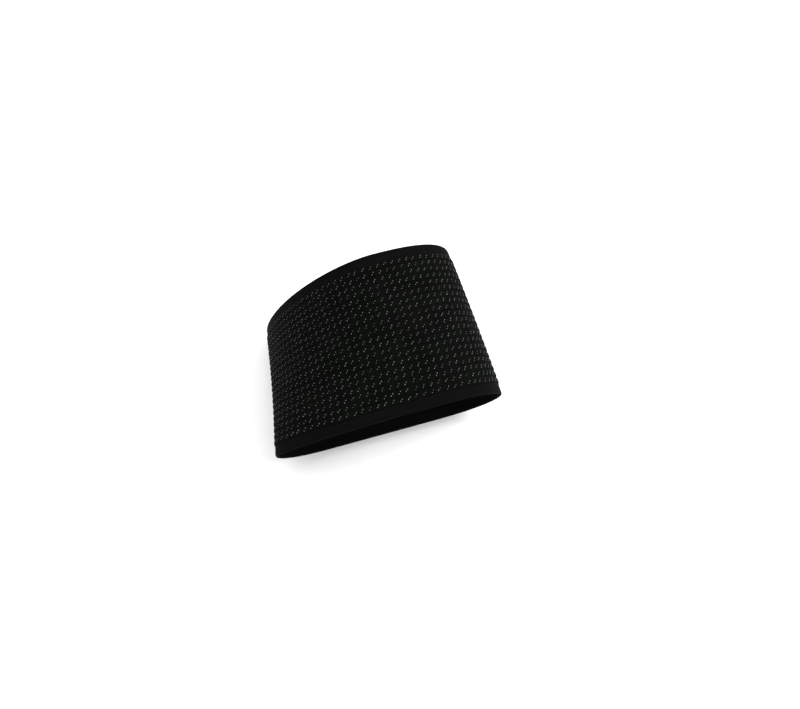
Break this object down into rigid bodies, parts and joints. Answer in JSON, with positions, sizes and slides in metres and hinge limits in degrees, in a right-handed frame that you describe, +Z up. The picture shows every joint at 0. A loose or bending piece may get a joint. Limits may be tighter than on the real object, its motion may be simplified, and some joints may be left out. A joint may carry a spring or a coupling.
{
  "type": "arch support sleeve",
  "caption": "Wide ribbed elastic band, in the form it has round the middle of a right foot, with a plain smooth edge band at each opening.",
  "frame": {"origin": "on the inside of the sole wall, half-way between the toe edge and the ankle edge, where the sole of the foot bears", "axes": "+Z up from the sole to the instep, +X to the big-toe side of a right foot, -Y to the toes"},
  "size_m": [0.0969, 0.0911, 0.0667],
  "materials": {
    "ribbed_knit": "matte ribbed elastic knit, near black with pairs of pale grey elastic yarn showing through",
    "edge_knit": "matte plain close knit, near black"
  },
  "bodies": {
    "root": {"sleeve_panel": "ribbed_knit", "toe_edge_band": "edge_knit", "ankle_edge_band": "edge_knit"}
  },
  "joints": []
}
